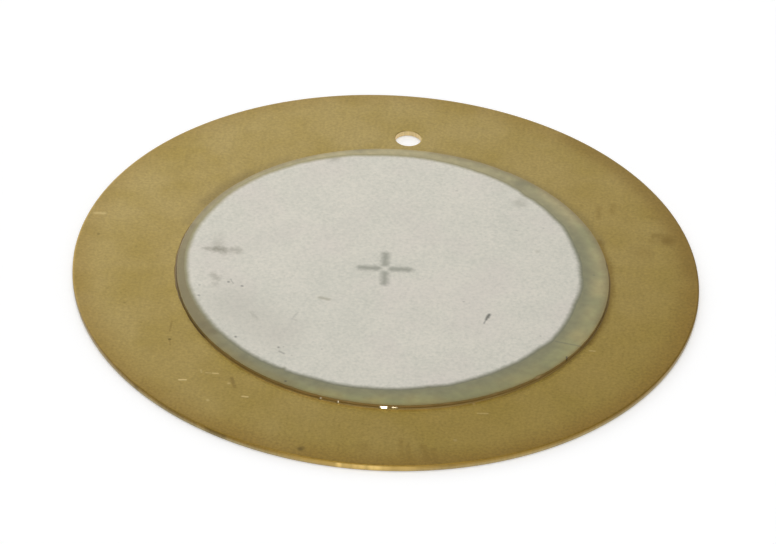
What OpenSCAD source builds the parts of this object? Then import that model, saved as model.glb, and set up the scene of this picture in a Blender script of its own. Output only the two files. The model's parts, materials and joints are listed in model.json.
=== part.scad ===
// Piezo disc: a silvered piezoelectric ceramic disc bonded to a thin round brass plate.
// The origin is the centre of the plate's lower face, +Z runs up through the ceramic,
// and +Y points at the small hole that is pierced through the plate behind the ceramic.
// All sizes are in millimetres.

/* [Brass plate] */
// Diameter of the plate
plate_d = 20; // [16.5:0.1:50]
// Thickness of the brass sheet
plate_t = 0.2; // [0.12:0.01:0.5]
// How far the die roll reaches in from the plate's rim, on the upper face
plate_roll_w = 0.06; // [0.02:0.01:0.15]
// How far the die roll drops below the upper face
plate_roll_h = 0.03; // [0.01:0.01:0.05]
// How far the torn part of the blanked edge leans in, at the lower face
plate_tear_w = 0.012; // [0.002:0.002:0.04]
// Height of the torn part of the blanked edge, above the lower face
plate_tear_h = 0.06; // [0.02:0.01:0.08]

/* [Pierced hole] */
// Diameter of the hole
hole_d = 0.85; // [0.4:0.05:1.2]
// Bare brass left between the ceramic's rim and the hole
hole_web = 0.4; // [0.15:0.01:0.8]
// How far the die roll reaches out from the hole, on the upper face
hole_roll_w = 0.035; // [0.01:0.005:0.06]
// How far the die roll of the hole drops below the upper face
hole_roll_h = 0.02; // [0.01:0.005:0.04]
// How far the torn part of the hole's wall flares out, at the lower face
hole_tear_w = 0.01; // [0.002:0.002:0.03]
// Height of the torn part of the hole's wall, above the lower face
hole_tear_h = 0.05; // [0.02:0.01:0.08]

/* [Ceramic disc] */
// Diameter of the ceramic
ceramic_d = 13.8; // [9:0.1:17]
// Thickness of the ceramic, without its electrodes
ceramic_t = 0.11; // [0.08:0.01:0.4]
// Round on the two edges of the ceramic's rim
ceramic_edge = 0.015; // [0.005:0.005:0.04]
// How far off the plate's centre the ceramic is bonded, towards +X
ceramic_x = 0.23; // [-0.4:0.01:0.4]
// How far off the plate's centre the ceramic is bonded, towards +Y
ceramic_y = -0.16; // [-0.4:0.01:0.4]

/* [Electrodes] */
// Thickness of each fired silver electrode
silver_t = 0.01; // [0.005:0.001:0.02]
// Width over which the printed silver thins out to its edge
silver_feather = 0.12; // [0.02:0.01:0.2]
// Bare ceramic round the upper electrode, where the print is centred
upper_margin = 0.625; // [0.5:0.005:2]
// How far off the ceramic's centre the upper electrode is printed, towards +X
upper_x = -0.31; // [-0.33:0.01:0.33]
// How far off the ceramic's centre the upper electrode is printed, towards +Y
upper_y = 0.19; // [-0.33:0.01:0.33]
// Bare ceramic round the lower electrode
lower_margin = 0.2; // [0.05:0.01:0.6]

/* [Bond] */
// Thickness of the adhesive film under the lower electrode
film_t = 0.01; // [0.005:0.001:0.03]
// How far the squeezed-out adhesive reaches onto the brass, round the ceramic
bead_w = 0.1; // [0.04:0.01:0.2]
// How far the adhesive climbs the ceramic's rim, above the plate
bead_h = 0.08; // [0.05:0.01:0.1]
// Thickness of the adhesive where it ends on the ceramic's rim
bead_lip = 0.008; // [0.002:0.002:0.02]

/* [Hidden] */

// Sides of every round form, for the preview
$fn = 180;
// How far a cutting form runs past the faces that it cuts
over = 0.1;
// Short flats in each quarter of a rounded corner
corner_steps = 6;

plate_r = plate_d / 2;
hole_r = hole_d / 2;
ceramic_r = ceramic_d / 2;
upper_r = ceramic_r - upper_margin;
lower_r = ceramic_r - lower_margin;

// The hole clears the ceramic's rim by its web, on the plate's Y axis
ceramic_back_y = ceramic_y + sqrt(pow(ceramic_r, 2) - pow(ceramic_x, 2));
hole_y = ceramic_back_y + hole_web + hole_r;

// The stack, from the plate up
film_z = plate_t;
lower_z = film_z + film_t;
ceramic_z = lower_z + silver_t;
upper_z = ceramic_z + ceramic_t;

// Points of a quarter of an ellipse about centre, from one angle to another
function corner(centre, w, h, from, to) = [
    for (i = [0 : corner_steps])
        let (a = from + (to - from) * i / corner_steps)
            centre + [w * cos(a), h * sin(a)]
];

// Half section of the ceramic's lower corner, from the rim to the lower face
function ceramic_lower_corner(z) = corner(
    [ceramic_r - ceramic_edge, z + ceramic_edge], ceramic_edge, ceramic_edge, 0, -90
);

// Half section of the blanked plate: the lower face, the torn part that leans in, the
// upright burnished band and the die roll that runs into the upper face
function plate_section() = concat(
    [[0, 0], [plate_r - plate_tear_w, 0], [plate_r, plate_tear_h]],
    corner([plate_r - plate_roll_w, plate_t - plate_roll_h], plate_roll_w, plate_roll_h, 0, 90),
    [[0, plate_t]]
);

// Half section of what the pierced hole takes away, past both faces of the plate
function hole_section() = concat(
    [[0, -over], [hole_r + hole_tear_w, -over], [hole_r + hole_tear_w, 0], [hole_r, hole_tear_h]],
    corner([hole_r + hole_roll_w, plate_t - hole_roll_h], hole_roll_w, hole_roll_h, 180, 90),
    [[hole_r + hole_roll_w, plate_t + over], [0, plate_t + over]]
);

// Half section of the ceramic, with both edges of its rim rounded
function ceramic_section() = concat(
    [[0, 0]],
    [for (i = [corner_steps : -1 : 0]) ceramic_lower_corner(0)[i]],
    corner([ceramic_r - ceramic_edge, ceramic_t - ceramic_edge], ceramic_edge, ceramic_edge, 0, 90),
    [[0, ceramic_t]]
);

// Half section of the adhesive, with z from the plate's upper face: the film, the hollow
// bead round the ceramic, and the fill under the rim outside the lower electrode
function bond_section() = concat(
    [[0, 0]],
    corner([ceramic_r + bead_w, bead_h], bead_w - bead_lip, bead_h, -90, -180),
    [[ceramic_r, bead_h]],
    ceramic_lower_corner(film_t + silver_t),
    [[lower_r, film_t + silver_t], [lower_r, film_t], [0, film_t]]
);

module on_ceramic_axis(z) {
    translate([ceramic_x, ceramic_y, z]) children();
}

module brass_plate() {
    color("#AF9A5F")
        difference() {
            rotate_extrude() polygon(plate_section());
            translate([0, hole_y, 0]) rotate_extrude() polygon(hole_section());
        }
}

module bond_layer() {
    color("#8C7A3E")
        on_ceramic_axis(film_z) rotate_extrude() polygon(bond_section());
}

module lower_electrode() {
    color("#C2BDB2")
        on_ceramic_axis(lower_z) cylinder(r = lower_r, h = silver_t);
}

module ceramic_disc() {
    color("#8F8965")
        on_ceramic_axis(ceramic_z) rotate_extrude() polygon(ceramic_section());
}

module upper_electrode() {
    color("#D2CEC3")
        on_ceramic_axis(upper_z)
            translate([upper_x, upper_y, 0])
                rotate_extrude()
                    polygon([[0, 0], [upper_r, 0], [upper_r - silver_feather, silver_t], [0, silver_t]]);
}

brass_plate();
bond_layer();
lower_electrode();
ceramic_disc();
upper_electrode();
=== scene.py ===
"""Dresses the piezo disc: a blanked brass plate with a silvered ceramic disc bonded on it.

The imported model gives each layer's place and size. Every visible layer is worked out here
again as a finer surface, with its worn edges, and gets a procedural finish. All meshes are in
metres; sizes are written in millimetres and turned by MM. Angles round the disc are in
degrees, from +X towards +Y.
"""

from __future__ import annotations

import json
import logging
import math
from dataclasses import dataclass, field
from enum import Enum
from typing import Any

import bpy
import numpy as np
from mathutils import Matrix, Vector


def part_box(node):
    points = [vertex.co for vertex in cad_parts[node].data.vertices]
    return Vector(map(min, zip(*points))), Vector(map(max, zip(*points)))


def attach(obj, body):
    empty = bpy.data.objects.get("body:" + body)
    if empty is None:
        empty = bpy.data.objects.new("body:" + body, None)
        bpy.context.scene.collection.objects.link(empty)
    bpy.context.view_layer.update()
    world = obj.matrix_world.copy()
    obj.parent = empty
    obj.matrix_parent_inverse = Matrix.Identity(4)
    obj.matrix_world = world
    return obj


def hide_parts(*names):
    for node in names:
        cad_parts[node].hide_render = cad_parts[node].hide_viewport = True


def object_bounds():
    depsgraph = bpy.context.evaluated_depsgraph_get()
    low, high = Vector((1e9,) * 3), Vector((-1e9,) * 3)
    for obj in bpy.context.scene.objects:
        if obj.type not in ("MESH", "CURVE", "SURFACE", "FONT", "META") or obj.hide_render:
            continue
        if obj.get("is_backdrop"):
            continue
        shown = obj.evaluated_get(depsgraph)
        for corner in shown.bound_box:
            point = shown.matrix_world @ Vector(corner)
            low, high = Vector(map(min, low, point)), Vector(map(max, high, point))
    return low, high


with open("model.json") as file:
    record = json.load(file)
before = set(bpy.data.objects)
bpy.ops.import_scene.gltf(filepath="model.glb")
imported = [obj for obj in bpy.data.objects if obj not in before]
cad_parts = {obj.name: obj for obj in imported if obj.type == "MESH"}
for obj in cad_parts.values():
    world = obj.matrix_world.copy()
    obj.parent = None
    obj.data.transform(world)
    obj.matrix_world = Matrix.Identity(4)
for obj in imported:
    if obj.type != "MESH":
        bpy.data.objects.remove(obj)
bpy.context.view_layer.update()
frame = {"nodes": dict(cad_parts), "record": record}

MM = 0.001
BODY = "root"
DEEP = 1e6  # millimetres to a local unit along Z, where depth is to count for nothing
STROKE_TURN = 12.0  # degrees that one straight stroke of an arc may turn through
RAGGED_MM = 0.12  # size of the wander in a ragged mark's outline
NOISE_SPAN = (0.3, 0.7)  # the values that a noise mostly keeps between
LAMP_SIDE = (-0.6, 0.8, 0)  # painted light: the way towards the lamps at the back left, in which the layers are painted paler
LAMP_SIDE_SPAN = (-2.0, 6.0)  # how far that way it starts and ends, in millimetres
LOG = logging.getLogger("piezo_disc")

# Settings of the nodes that recur
COLOURS = {"data_type": "RGBA"}
SMOOTH = {"interpolation_type": "SMOOTHSTEP"}
SCALED = {"operation": "SCALE"}
PLUS = {"operation": "ADD"}
LESS = {"operation": "SUBTRACT"}
TIMES = {"operation": "MULTIPLY"}
TIMES_PLUS = {"operation": "MULTIPLY_ADD"}
HIGHEST = {"operation": "MAXIMUM"}
LENGTH = {"operation": "LENGTH"}
ALONG = {"operation": "DOT_PRODUCT"}
OVER = {"operation": "GREATER_THAN"}
UNDER = {"operation": "LESS_THAN"}


class Slot(Enum):
    """The record's material slots that a piece can take its finish from."""

    BRASS = "brass"
    ADHESIVE = "adhesive"
    SILVER = "silver"
    CERAMIC = "ceramic"


class Wear(Enum):
    """The kinds of mark that making and handling left on the disc, and painted light and shade."""

    SCRATCH = "bright line where metal is freshly cut"
    LINE = "thin dark line"
    SPECK = "small dark grain"
    SMEAR = "soft grey rub of dirt"
    SCUFF = "brown rub"
    STAIN = "broad tarnish"
    PRINT = "gap in the printed silver"
    EDGE_HIGHLIGHT = "bright worn spot on the sheared edge"
    EDGE_SHEEN = "part of the sheared edge that fingers keep bright"
    EDGE_DARK = "dark dirt on the sheared edge"
    GLINT = "bright flake caught in the adhesive"


def linear(code: str) -> tuple[float, float, float, float]:
    """Turns an sRGB hex colour into linear light.

    Args:
        code: Six hex digits after a hash sign.

    Returns:
        Linear red, green and blue, with an alpha of one.
    """
    parts = np.array([int(code[i : i + 2], 16) for i in (1, 3, 5)]) / 255
    light = np.where(parts <= 0.04045, parts / 12.92, ((parts + 0.055) / 1.055) ** 2.4)
    return (*map(float, light), 1.0)


def turns(columns: int) -> np.ndarray:
    """Gives evenly spaced angles once round, in radians."""
    return np.linspace(0, 2 * np.pi, columns, endpoint=False)


def ripple(turn: np.ndarray, seed: int, waves: tuple[int, int], size: float) -> np.ndarray:
    """Gives a seamless random wave round a rim.

    The wave is a sum of cosines with whole numbers of waves per turn and random phases. Each
    is divided by the root of its wave count, so slow waves stay the strongest.

    Args:
        turn: Angles round the rim, in radians.
        seed: Seed of the phases.
        waves: Fewest and most waves per turn.
        size: Root mean square height of the sum.

    Returns:
        The height at each angle.
    """
    counts = np.arange(waves[0], waves[1] + 1)
    phases = np.random.default_rng(seed).uniform(0, 2 * np.pi, counts.size)
    weights = 1 / np.sqrt(counts)
    total = weights @ np.cos(np.outer(counts, turn) + phases[:, None])
    return total * size / math.sqrt(float((weights**2).sum()) / 2)


def bump(turn: np.ndarray, at: float, width: float) -> np.ndarray:
    """Gives a smooth bell round one angle: one at its middle and a third at its width.

    Args:
        turn: Angles round the rim, in radians.
        at: The middle of the bell, in degrees.
        width: How far from its middle the bell has fallen to a third, in radians.

    Returns:
        The bell's height at each angle.
    """
    away = (turn - math.radians(at) + np.pi) % (2 * np.pi) - np.pi
    return np.exp(-((away / width) ** 2))


def bitten(
    turn: np.ndarray, bites: tuple[tuple[float, float, float], ...], radius: float
) -> np.ndarray:
    """Gives how far a rim is bitten in at each angle: the sum of a bell for each bite.

    Args:
        turn: Angles round the rim, in radians.
        bites: Each one's angle in degrees, and its depth and width in millimetres.
        radius: The rim's radius.

    Returns:
        The depth at each angle, in millimetres.
    """
    return np.sum([deep * bump(turn, at, wide / radius / 2) for at, deep, wide in bites], axis=0)


def quarter(
    centre: tuple[float, float], half: tuple[float, float], start: float, end: float, steps: int
) -> np.ndarray:
    """Gives points on part of an ellipse: the centre plus each half axis by cosine and sine.

    Args:
        centre: Radius and height of the ellipse's centre.
        half: Half axes along radius and height.
        start: First angle, in degrees.
        end: Last angle, in degrees.
        steps: How many steps to take.

    Returns:
        Rows of radius and height.
    """
    angle = np.radians(np.linspace(start, end, steps + 1))
    return np.column_stack([centre[0] + half[0] * np.cos(angle), centre[1] + half[1] * np.sin(angle)])


def swept(
    x: float, y: float | np.ndarray, radius: np.ndarray, height: np.ndarray, columns: int
) -> np.ndarray:
    """Turns radii and heights into points: the centre plus the radius by cosine and sine.

    Args:
        x: The centre along X.
        y: The centre along Y, the same for all rows or one to a row.
        radius: One column of radii, or as many as there are columns.
        height: One column of heights, or as many as there are columns.
        columns: How many points go round.

    Returns:
        Rows by columns by three.
    """
    turn = turns(columns)
    across = x + radius * np.cos(turn)
    return np.stack([across, y + radius * np.sin(turn), np.broadcast_to(height, across.shape)], axis=-1)


def new_piece(name: str, points: np.ndarray, closed: bool, sharp: float) -> bpy.types.Object:
    """Makes a closed smooth mesh from a grid of points.

    Each row of the grid is a loop round the piece and rows follow its section, outwards over
    the top and back underneath. The last row joins the first, or the first and last rows
    each close on a pole at their mean.

    Args:
        name: Name of the piece.
        points: Rows by columns by three, in millimetres.
        closed: True if the section is a closed loop, False if it ends at two poles.
        sharp: Angle between two faces past which their edge is sharp, in degrees.

    Returns:
        The new object, at the origin, linked to the scene.
    """
    rows, columns = points.shape[:2]
    index = np.arange(rows * columns).reshape(rows, columns)
    lower = np.roll(index, -1, axis=0) if closed else index[1:]
    upper = index if closed else index[:-1]
    quads = np.stack([upper, lower, np.roll(lower, -1, 1), np.roll(upper, -1, 1)], axis=-1)
    corners = quads.reshape(-1)
    sizes = np.full(quads.size // 4, 4)
    places = points.reshape(-1, 3)
    if not closed:
        poles = np.stack([points[0].mean(0), points[-1].mean(0)])
        first = np.full(columns, rows * columns)
        top = np.stack([first, index[0], np.roll(index[0], -1)], axis=-1)
        bottom = np.stack([first + 1, np.roll(index[-1], -1), index[-1]], axis=-1)
        corners = np.concatenate([corners, top.reshape(-1), bottom.reshape(-1)])
        sizes = np.concatenate([sizes, np.full(2 * columns, 3)])
        places = np.concatenate([places, poles])
    mesh = bpy.data.meshes.new(name)
    mesh.vertices.add(len(places))
    mesh.vertices.foreach_set("co", (places * MM).astype(np.float32).reshape(-1))
    mesh.loops.add(len(corners))
    mesh.loops.foreach_set("vertex_index", corners.astype(np.int32))
    mesh.polygons.add(len(sizes))
    mesh.polygons.foreach_set("loop_start", (np.cumsum(sizes) - sizes).astype(np.int32))
    mesh.update(calc_edges=True)
    mesh.validate()
    mesh.shade_smooth()
    mesh.set_sharp_from_angle(angle=math.radians(sharp))
    piece = bpy.data.objects.new(name, mesh)
    bpy.context.scene.collection.objects.link(piece)
    return piece


@dataclass(frozen=True)
class Extent:
    """A round layer's place in the frame, in millimetres."""

    x: float
    y: float
    radius: float
    low: float
    high: float

    @classmethod
    def of(cls, node: str) -> Extent:
        """Reads a layer's place from its CAD node's box.

        Args:
            node: Name of the CAD node.

        Returns:
            The layer's centre, radius and heights.
        """
        low, high = (np.array(corner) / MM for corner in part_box(node))
        middle = (low + high) / 2
        radius = float(high[0] - low[0]) / 2
        return cls(float(middle[0]), float(middle[1]), radius, float(low[2]), float(high[2]))

    @property
    def centre(self) -> tuple[float, float]:
        """The layer's centre along X and Y."""
        return (self.x, self.y)


@dataclass(frozen=True)
class Mark:
    """One mark on a face: a stroke between two points, in millimetres in the frame."""

    kind: Wear
    start: tuple[float, float]
    end: tuple[float, float]
    width: float
    strength: float


def dots(kind: Wear, *each: tuple[float, float, float, float]) -> list[Mark]:
    """Gives round marks, each from its X, Y, size and strength."""
    return [Mark(kind, (x, y), (x, y), size, strength) for x, y, size, strength in each]


def strokes(kind: Wear, *each: tuple[float, float, float, float, float, float]) -> list[Mark]:
    """Gives straight marks, each from its start's X and Y, its end's, its width and strength."""
    return [Mark(kind, (a, b), (c, d), width, strength) for a, b, c, d, width, strength in each]


def arcs(
    kind: Wear, centre: tuple[float, float], *each: tuple[float, float, float, float, float]
) -> list[Mark]:
    """Gives marks along parts of circles, as short straight strokes end to end.

    Args:
        kind: The kind of mark.
        centre: The circles' middle along X and Y.
        each: Radius, first and last angle in degrees, width and strength of each arc.

    Returns:
        One mark for each stroke.
    """
    marks: list[Mark] = []
    for radius, first, last, width, strength in each:
        steps = math.ceil(abs(last - first) / STROKE_TURN)
        angles = np.radians(np.linspace(first, last, steps + 1)).tolist()
        ends = [(centre[0] + radius * math.cos(a), centre[1] + radius * math.sin(a)) for a in angles]
        marks += [Mark(kind, start, end, width, strength) for start, end in zip(ends, ends[1:])]
    return marks


@dataclass(frozen=True)
class WearLook:
    """How one kind of mark looks on one material.

    Attributes:
        kind: The kind of mark.
        colour: Its colour.
        softness: Share of the half width over which it fades, each way.
        roughness: Its roughness.
        ragged: How far its outline wanders, in millimetres.
    """

    kind: Wear
    colour: str
    softness: float
    roughness: float
    ragged: float = 0.0


class Graph:
    """A material's node tree, filled one node at a time.

    Attributes:
        material: The material.
        mm: The piece's own coordinates, in millimetres.
    """

    def __init__(self, name: str) -> None:
        """Starts a material with nothing but its coordinates.

        Args:
            name: Name of the material.
        """
        self.material = bpy.data.materials.new(name)
        self.material.use_nodes = True
        self.tree = self.material.node_tree
        self.tree.nodes.clear()
        place = self.add("TexCoord", {}).outputs["Object"]
        self.mm = self.add("Mapping", {"Vector": place, "Scale": (1 / MM,) * 3})

    def add(
        self, kind: str, inputs: dict[str, Any], settings: dict[str, Any] | None = None
    ) -> bpy.types.Node:
        """Adds one node with its settings and links.

        Args:
            kind: The node's type, without its ShaderNode prefix.
            inputs: By the input's identifier: a value, a hex colour, a socket, or a node whose
                first live output is meant.
            settings: The node's own properties, such as its operation.

        Returns:
            The new node.
        """
        node = self.tree.nodes.new("ShaderNode" + kind)
        for key, value in (settings or {}).items():
            setattr(node, key, value)
        sockets = {socket.identifier: socket for socket in node.inputs}
        for key, value in inputs.items():
            if isinstance(value, bpy.types.Node):
                value = next(output for output in value.outputs if output.enabled)
            if isinstance(value, bpy.types.NodeSocket):
                self.tree.links.new(value, sockets[key])
            else:
                sockets[key].default_value = linear(value) if isinstance(value, str) else value
        return node

    def ring(self, x: float, y: float) -> bpy.types.NodeSocket:
        """Gives the distance from an upright axis, in millimetres.

        Args:
            x: The axis's place along X.
            y: The axis's place along Y.

        Returns:
            The socket that holds the distance.
        """
        offset = self.add("VectorMath", {"Vector": self.mm, "Vector_001": (x, y, 0)}, LESS)
        flat = self.add("VectorMath", {"Vector": offset, "Vector_001": (1, 1, 0)}, TIMES)
        return self.add("VectorMath", {"Vector": flat}, LENGTH).outputs["Value"]

    def toward_lamps(self) -> bpy.types.Node:
        """Gives how far a place lies towards the disc's back left, where the lamps stand, from none to
        one: the mask of painted light.
        """
        way = {"Vector": self.mm, "Vector_001": LAMP_SIDE}
        along = self.add("VectorMath", way, ALONG).outputs["Value"]
        start, end = LAMP_SIDE_SPAN
        return self.add("MapRange", {"Value": along, "From Min": start, "From Max": end})

    def shaded(
        self, colour: Any, value: Any, span: tuple[float, float], shades: tuple[float, float]
    ) -> bpy.types.Node:
        """Darkens and brightens a colour as a noise or a distance goes from one end to another.

        Args:
            colour: The colour.
            value: The noise or the distance.
            span: Its value at either end.
            shades: The share of the colour's light at either end.

        Returns:
            The node that holds the shaded colour.
        """
        ends = zip(("From Min", "From Max", "To Min", "To Max"), (*span, *shades))
        shade = self.add("MapRange", {"Value": value, **dict(ends)})
        return self.add("VectorMath", {"Vector": colour, "Scale": shade}, SCALED)

    def stroke(self, vector: Any, mark: Mark, softness: float) -> bpy.types.Node:
        """Gives a mark's mask: its strength inside the stroke, fading to nothing outside.

        The distance to the stroke is the length of what is left of the local coordinates
        once the half length is taken off the run, measured in half widths. Depth counts for
        nothing, because a local unit is very deep.

        Args:
            vector: Coordinates in millimetres.
            mark: The mark to draw.
            softness: Share of the half width over which it fades, each way.

        Returns:
            The node that holds the mask.
        """
        start, end = np.array(mark.start), np.array(mark.end)
        run = end - start
        half = float(np.hypot(*run)) / 2
        middle = (start + end) / 2
        local = self.add(
            "Mapping",
            {
                "Vector": vector,
                "Location": (float(middle[0]), float(middle[1]), 0),
                "Rotation": (0, 0, math.atan2(run[1], run[0])),
                "Scale": (mark.width / 2, mark.width / 2, DEEP),
            },
            {"vector_type": "TEXTURE"},
        )
        mirrored = self.add("VectorMath", {"Vector": local}, {"operation": "ABSOLUTE"})
        reach = (2 * half / mark.width, 0, 0)
        past = self.add("VectorMath", {"Vector": mirrored, "Vector_001": reach}, LESS)
        kept = self.add("VectorMath", {"Vector": past, "Vector_001": (0, 0, 0)}, HIGHEST)
        fade = {
            "Value": self.add("VectorMath", {"Vector": kept}, LENGTH).outputs["Value"],
            "From Min": 1 + softness,
            "From Max": max(1 - softness, 0),
            "To Max": mark.strength,
        }
        return self.add("MapRange", fade, SMOOTH)

    def wander(self, far: float) -> bpy.types.Node:
        """Shifts coordinates about at random, so that what is drawn on them gets ragged.

        Args:
            far: The farthest shift, in millimetres.

        Returns:
            The node that holds the shifted coordinates.
        """
        noise = self.add("TexNoise", {"Vector": self.mm, "Scale": 1 / RAGGED_MM, "Detail": 3.0})
        centred = {"Vector": noise.outputs["Color"], "Vector_001": (0.5,) * 3}
        shift = self.add("VectorMath", centred, LESS)
        sized = self.add("VectorMath", {"Vector": shift, "Scale": 2 * far}, SCALED)
        return self.add("VectorMath", {"Vector": self.mm, "Vector_001": sized}, PLUS)

    def wear(
        self, marks: list[Mark], looks: tuple[WearLook, ...], colour: Any, roughness: Any
    ) -> tuple[Any, Any, dict[Wear, Any]]:
        """Lays every mark over a colour and a roughness, one kind after another.

        Args:
            marks: The marks on this face.
            looks: How each kind looks on this material; the marks hold each kind at least once.
            colour: The colour under the marks.
            roughness: The roughness under the marks.

        Returns:
            The colour, the roughness and each kind's mask.
        """
        masks: dict[Wear, Any] = {}
        for look in looks:
            place = self.wander(look.ragged) if look.ragged else self.mm
            mask: Any = None
            for mark in (mark for mark in marks if mark.kind is look.kind):
                drawn = self.stroke(place, mark, look.softness)
                both = {"Value": mask, "Value_001": drawn}
                mask = drawn if mask is None else self.add("Math", both, HIGHEST)
            masks[look.kind] = mask
            over = {"Factor_Float": mask, "A_Color": colour, "B_Color": look.colour}
            colour = self.add("Mix", over, COLOURS)
            rougher = {"Factor_Float": mask, "A_Float": roughness, "B_Float": look.roughness}
            roughness = self.add("Mix", rougher)
        return colour, roughness, masks

    def finish(self, shader: bpy.types.Node) -> bpy.types.Material:
        """Links a shader to the surface and returns the material."""
        self.add("OutputMaterial", {"Surface": shader})
        return self.material


@dataclass(frozen=True)
class BrassFinish:
    """Rolled sheet brass, blanked and handled, with a thin tarnish.

    The eye gets a satin gold face, paler at the back left and yellower at the front right,
    partly tarnish and partly painted light from the lamps at the back left, a little cloudy,
    with olive patches, a darker tarnish along the rim, and painted light on the brass beside the
    ceramic against the shade of its wall. The sheared edge is brown and burnished above, torn
    below and painted paler there as a painted reflection of the white table, with upright shear
    lines and a dull foot. Painted highlights and a painted bright reflection lie on its front,
    and the wall of the hole is still fresh.
    """

    pale: str = "#AA955A"
    deep: str = "#A08841"
    olive: str = "#988236"
    rim: str = "#8B6B24"
    burnished: str = "#937636"
    # torn and foot are painted paler than torn metal alone: partly their own colour, partly painted
    # reflection of the white table
    torn: str = "#C4B588"
    foot: str = "#A39468"
    fresh: str = "#EBD29A"
    looks: tuple[WearLook, ...] = (
        # painted shade: on the brass these smears are the darker foot round the ceramic; the stain look
        # also paints its right foot
        WearLook(Wear.SMEAR, "#7B6B42", 1.0, 0.5, ragged=0.04),
        WearLook(Wear.STAIN, "#7F6526", 0.9, 0.45, ragged=0.1),
        WearLook(Wear.LINE, "#6B5222", 0.8, 0.5, ragged=0.02),
        WearLook(Wear.SPECK, "#43330F", 0.7, 0.6, ragged=0.02),
        WearLook(Wear.SCRATCH, "#F4DDA0", 0.95, 0.25, ragged=0.01),
    )
    edge_looks: tuple[WearLook, ...] = (
        # painted light: the front of the sheared edge is painted bright where it mirrors the front lamp,
        # with painted highlights on it
        WearLook(Wear.EDGE_SHEEN, "#D3B062", 0.9, 0.35),
        WearLook(Wear.EDGE_DARK, "#4A3C18", 0.8, 0.6, ragged=0.05),
        WearLook(Wear.EDGE_HIGHLIGHT, "#FFDC8A", 1.0, 0.3, ragged=0.02),
    )
    metallic: float = 0.8  # less than bare brass, because tarnish covers it
    roughness: float = 0.4
    roughness_spread: float = 0.03
    edge_roughness: float = 0.35
    shade_way: tuple[float, float] = (0.6, -0.8)  # towards the front right, where it is deeper: partly tarnish and partly painted shade, away from the lamps at the back left
    shade_mm: float = 9.0
    cloud_mm: float = 3.2  # tarnish clouds, as wide as a fingertip's touch
    patch_mm: float = 1.7  # the olive patches in them
    wave_mm: float = 1.1  # waves in the border of the rim's tarnish
    patch_span: tuple[float, float] = (0.42, 0.7)
    patch_most: float = 0.55
    band_mm: tuple[float, float] = (-0.85, 0.55)  # where that band starts and ends, from the rim
    band_most: tuple[float, float] = (0.36, 0.78)  # its strength at the back left and front right
    band_span: tuple[float, float] = (-8.0, 6.0)  # how far that way it starts and stops to grow
    band_at: tuple[float, float] = (-0.06, 0.03)  # its own centre, a little off the plate's
    # Rolled sheet has a grain of some 0.02 mm and lines finer still; both are drawn as coarse
    # as they need to show
    grain_mm: float = 0.09
    rolling_mm: tuple[float, float, float] = (0.09, 1.6, 1.0)
    rolling_share: float = 0.25
    grain_span: tuple[float, float] = (0.35, 0.95)
    grain_shades: tuple[float, float] = (0.81, 1.19)
    shear_mm: tuple[float, float, float] = (0.09, 0.09, 1.5)  # shear lines, drawn coarse as well
    shear_shades: tuple[float, float] = (0.84, 1.1)
    wave_shades: tuple[float, float] = (0.85, 1.12)
    relief_mm: float = 0.0009
    scratch_depth: float = 1.5  # of a scratch, in grains
    hole_mm: float = 1.0  # walls nearer than this to the hole's axis are the hole's
    burnished_mm: float = 0.07  # from the upper face down to where the burnished band ends
    torn_mm: float = 0.02  # from the lower face up to where it is all torn
    foot_mm: float = 0.1
    foot_most: float = 0.5
    foot_light: float = 1.8  # painted light: how much brighter the ring at the adhesive is painted, against the shade of the ceramic's wall
    foot_light_mm: float = 0.3
    foot_light_span: tuple[float, float] = (0.07, 0.25)  # where it starts and ends to fade, in front
    clean: float = 1.15  # painted light: how much brighter the brass round the ceramic's front is painted, against the same shade
    front_light_mm: float = 0.75

    def material(self, plate: BrassPlate) -> bpy.types.Material:
        """Builds the node tree for a plate.

        Args:
            plate: The plate, for its radius, its hole, its thickness and its marks.

        Returns:
            The material.
        """
        g = Graph("rolled_brass")
        wavy = g.add("TexNoise", {"Vector": g.mm, "Scale": 1 / self.wave_mm, "Detail": 4.0})
        tarnished = self.tarnish(g, wavy, plate.radius)
        grain = g.add("TexNoise", {"Vector": g.mm, "Scale": 1 / self.grain_mm, "Detail": 2.0})
        rolled = g.add("Mapping", {"Vector": g.mm, "Scale": tuple(1 / size for size in self.rolling_mm)})
        lines = g.add("TexNoise", {"Vector": rolled, "Scale": 1.0, "Detail": 3.0})
        shared = {"Value": lines, "Value_001": self.rolling_share, "Value_002": grain}
        both = g.add("Math", shared, TIMES_PLUS)
        sheet = g.shaded(tarnished, both, self.grain_span, self.grain_shades)
        spread = {
            "Value": both,
            "From Min": self.grain_span[0],
            "From Max": self.grain_span[1],
            "To Min": self.roughness - self.roughness_spread,
            "To Max": self.roughness + self.roughness_spread,
        }
        sheet_rough = g.add("MapRange", spread)
        # Painted light round the ceramic, against the shade of its wall
        bright = self.painted_light_rings(g, plate.ceramic, sheet)
        face, face_rough, masks = g.wear(plate.marks, self.looks, bright, sheet_rough)

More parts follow.
